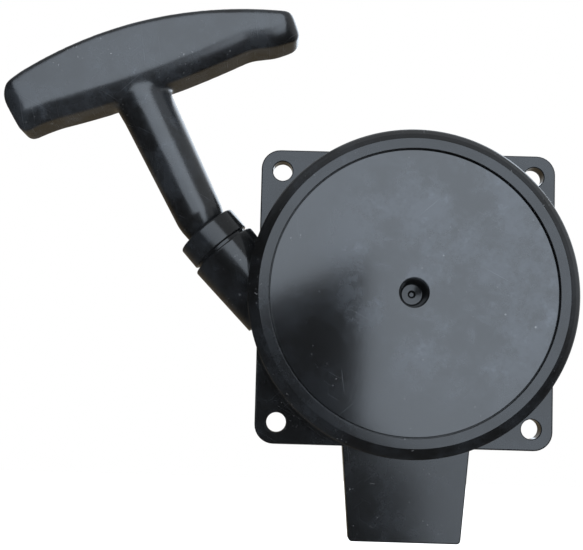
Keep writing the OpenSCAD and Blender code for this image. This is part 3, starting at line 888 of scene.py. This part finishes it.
def make_friction_spring():
    """Conical spring behind the guide plate, as wound wire with its ends closed."""
    wire = 0.65
    low, high = box_mm("friction_spring")
    turns = 3
    first_z, last_z = high.z - wire - 0.05, low.z + wire + 0.05
    first_r, last_r = high.x - wire - 0.05, high.x - wire - 0.85
    path = []
    for k in range(turns * 72 + 1):
        turn = k / 72
        rise = eased((turn - 0.3) / (turns - 0.6))
        r = first_r + (last_r - first_r) * rise
        z = first_z + (last_z - first_z) * rise
        path.append((r * math.cos(2 * math.pi * turn), r * math.sin(2 * math.pi * turn), z))
    body = sweep("friction_coil", path, wire, 14)
    shade(body, 60)
    return place_piece(body, "reel_assembly", SPRING_LOOK, ["friction_spring"])


def make_pawl_spring(name, node, turn):
    """Torsion spring: two coils in the reel's recess and a bent leg that the pawl pushes along."""
    wire, coil_r, leg = 0.42, 3.1, 6.1
    leg_angle = math.radians(-33)
    start_z = REEL_REAR + 0.55
    pitch = 0.85
    coils, steps = 1.9, 114
    path = []
    for k in range(steps + 1):
        a = leg_angle - 2 * math.pi * (coils - k / 60)
        path.append((coil_r * math.cos(a), coil_r * math.sin(a), start_z + pitch * (1 - k / steps)))
    side = (math.cos(leg_angle), math.sin(leg_angle))
    across = (-side[1], side[0])
    for t in (0.25, 0.5, 0.75):
        swing = coil_r * (1 + 0.12 * t)
        path.append((swing * side[0] + across[0] * t * 0.9, swing * side[1] + across[1] * t * 0.9, start_z))
    for reach in (coil_r + 1.1, coil_r + 1.9, leg - 0.5):
        path.append((reach * side[0], reach * side[1], start_z))
    path.append((leg * side[0], leg * side[1], start_z - 0.35))
    path += [(leg * side[0], leg * side[1], z) for z in np.arange(start_z - 0.9, REEL_REAR - 2.9, -0.5)]
    pivot = PAWL_PIVOT_R if turn == 0 else -PAWL_PIVOT_R
    spin = Matrix.Rotation(turn, 4, "Z")
    path = [spin @ Vector(p) + Vector((pivot, 0, 0)) for p in path]
    body = sweep(name, path, wire, 12)
    shade(body, 60)
    place_piece(body, None, SPRING_LOOK, [node])
    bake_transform(body)
    return body


# ---------------------------------------------------------------- pieces that keep their CAD shape

def finish_node(node, material, edge):
    """Gives a CAD node its material, and softens its sharp edges by edge mm."""
    piece = frame["nodes"][node]
    piece.data.materials.clear()
    piece.data.materials.append(material)
    weld = piece.modifiers.new("weld", "WELD")
    weld.merge_threshold = 0.002 * MM
    if edge:
        bevel = piece.modifiers.new("edges", "BEVEL")
        bevel.width = edge * MM
        bevel.segments = 2
        bevel.limit_method = "ANGLE"
        bevel.angle_limit = math.radians(40)
    weighted = piece.modifiers.new("flat faces", "WEIGHTED_NORMAL")
    weighted.keep_sharp = True


KEPT_NODES = [
    ("thread_insert", BRASS_LOOK, 0.1),
    ("recoil_spring", SPRING_LOOK, 0),
    ("center_screw", ZINC_LOOK, 0.3),
    ("friction_washer", ZINC_LOOK, 0.12),
    ("reel", NYLON_LOOK, 0.2),
    ("reel_bush", BRASS_LOOK, 0.1),
    ("pawl_pin_a", ZINC_LOOK, 0.15),
    ("pawl_pin_b", ZINC_LOOK, 0.15),
    ("guide_plate", ZINC_LOOK, 0.15),
    ("pawl_a", PAWL_LOOK, 0.25),
    ("pawl_b", PAWL_LOOK, 0.25),
    ("rope_washer", ZINC_LOOK, 0.12),
    ("grip_plug", HANDLE_LOOK, 0.3),
]


# ---------------------------------------------------------------- camera, light and floor

def make_camera():
    camera = bpy.data.objects.new("camera", bpy.data.cameras.new("camera"))
    bpy.context.scene.collection.objects.link(camera)
    camera.location = (-0.049935, -0.442673, -0.039921)
    camera.rotation_euler = [math.radians(a) for a in (93.892, -1.605, 0.730)]
    camera.data.lens = 68.137
    camera.data.sensor_width = 36
    camera.data.shift_x = 0.0492
    camera.data.shift_y = 0.0790
    bpy.context.scene.camera = camera


def area_light(name, centre, target, size, radiance):
    """Soft rectangular light, given how bright its surface looks."""
    light = bpy.data.lights.new(name, "AREA")
    light.shape = "RECTANGLE"
    light.size, light.size_y = size
    light.energy = radiance * math.pi * size[0] * size[1]
    lamp = bpy.data.objects.new(name, light)
    bpy.context.scene.collection.objects.link(lamp)
    aim = (Vector(target) - Vector(centre)).to_track_quat("-Z", "Y").to_matrix().to_4x4()
    lamp.matrix_world = Matrix.Translation(centre) @ aim
    lamp.visible_camera = False
    light.color = (0.78, 0.88, 1.0)


def make_world():
    """White to the eye; as light, bright from above and the right, with a warm table low behind."""
    world = bpy.data.worlds.new("studio")
    world.use_nodes = True
    bpy.context.scene.world = world
    nodes, links = world.node_tree.nodes, world.node_tree.links
    nodes.clear()
    toward = nodes.new("ShaderNodeTexCoord").outputs["Generated"]

    def glow(direction, low, high, dim, bright, colour):
        """Light that grows from dim to bright towards a direction."""
        lean = nodes.new("ShaderNodeVectorMath")
        lean.operation = "DOT_PRODUCT"
        lean.inputs[1].default_value = Vector(direction).normalized()
        links.new(toward, lean.inputs[0])
        spread = nodes.new("ShaderNodeMapRange")
        spread.interpolation_type = "SMOOTHSTEP"
        for key, value in (("From Min", low), ("From Max", high), ("To Min", dim), ("To Max", bright)):
            spread.inputs[key].default_value = value
        links.new(lean.outputs["Value"], spread.inputs["Value"])
        light = nodes.new("ShaderNodeBackground")
        light.inputs["Color"].default_value = colour
        links.new(spread.outputs["Result"], light.inputs["Strength"])
        return light.outputs[0]

    sky = glow((0.42, 0.12, 0.90), -0.1, 0.7, 0.01, 0.8, (0.90, 0.95, 1, 1))
    table = glow((-0.25, 0.90, -0.36), 0.55, 0.95, 0.0, 0.17, (1.0, 0.80, 0.50, 1))
    both = nodes.new("ShaderNodeAddShader")
    links.new(sky, both.inputs[0])
    links.new(table, both.inputs[1])
    white = nodes.new("ShaderNodeBackground")
    seen = nodes.new("ShaderNodeLightPath").outputs["Is Camera Ray"]
    mixed = nodes.new("ShaderNodeMixShader")
    white.inputs["Color"].default_value = (1, 1, 1, 1)
    links.new(seen, mixed.inputs[0])
    links.new(both.outputs[0], mixed.inputs[1])
    links.new(white.outputs[0], mixed.inputs[2])
    links.new(mixed.outputs[0], nodes.new("ShaderNodeOutputWorld").inputs["Surface"])


def make_floor():
    drop, half = 0.2, 3.0
    z = cad_low.z - drop
    corners = [(-half, -half, z), (half, -half, z), (half, half, z), (-half, half, z)]
    mesh = bpy.data.meshes.new("floor")
    mesh.from_pydata(corners, [], [(0, 1, 2, 3)])
    mesh.materials.append(pale_floor("pale_floor"))
    floor = bpy.data.objects.new("floor", mesh)
    bpy.context.scene.collection.objects.link(floor)
    floor.visible_glossy = False


def make_flag(corners, depth):
    """Dark card that keeps the big light from reaching everywhere. Its corners are in mm."""
    mesh = bpy.data.meshes.new("flag")
    mesh.from_pydata([TO_FRAME @ Vector((x, y, depth)) for x, y in corners], [], [range(len(corners))])
    look = Look("flag_cloth")
    mesh.materials.append(look.set(Base_Color=grey(0.004), Roughness=1.0, Specular_IOR_Level=0.0))
    flag = bpy.data.objects.new("flag", mesh)
    bpy.context.scene.collection.objects.link(flag)
    flag.visible_camera = False


# ---------------------------------------------------------------- build

make_camera()
make_world()
make_floor()
area_light("key", (-0.02, -1.0, 0.22), (-0.02, 0, 0.22), (1.08, 1.00), 4.35)
area_light("back", (0.5, 1.1, 0.6), (-0.03, 0, 0.0), (0.9, 0.9), 2.2)
make_flag([(140, -400), (118, -135), (48, -70), (50, 122), (-47, 84), (-600, -160), (-600, -400)], 900)
bpy.context.scene.view_settings.view_transform = "Standard"

make_housing()
make_disc()
make_guide()
make_handle()
make_lead()
make_winding()
up_stem = Vector((math.cos(STEM_ANGLE), math.sin(STEM_ANGLE), 0))
make_knot("handle_end_knot", "handle_knot", "rope_end", up_stem)
reel_knot_low, reel_knot_high = box_mm("reel_knot")
knot_half = (reel_knot_high.x - reel_knot_low.x) / 2
knot_spot = Vector((0, reel_knot_low.y + knot_half, (reel_knot_low.z + reel_knot_high.z) / 2))
make_knot("reel_end_knot", "reel_knot", "reel_assembly", Vector((0, 1, 0)), knot_spot)
make_friction_spring()
make_pawl_spring("pawl_coil_a", "pawl_spring_a", 0)
make_pawl_spring("pawl_coil_b", "pawl_spring_b", math.pi)
for node, material, edge in KEPT_NODES:
    finish_node(node, material, edge)
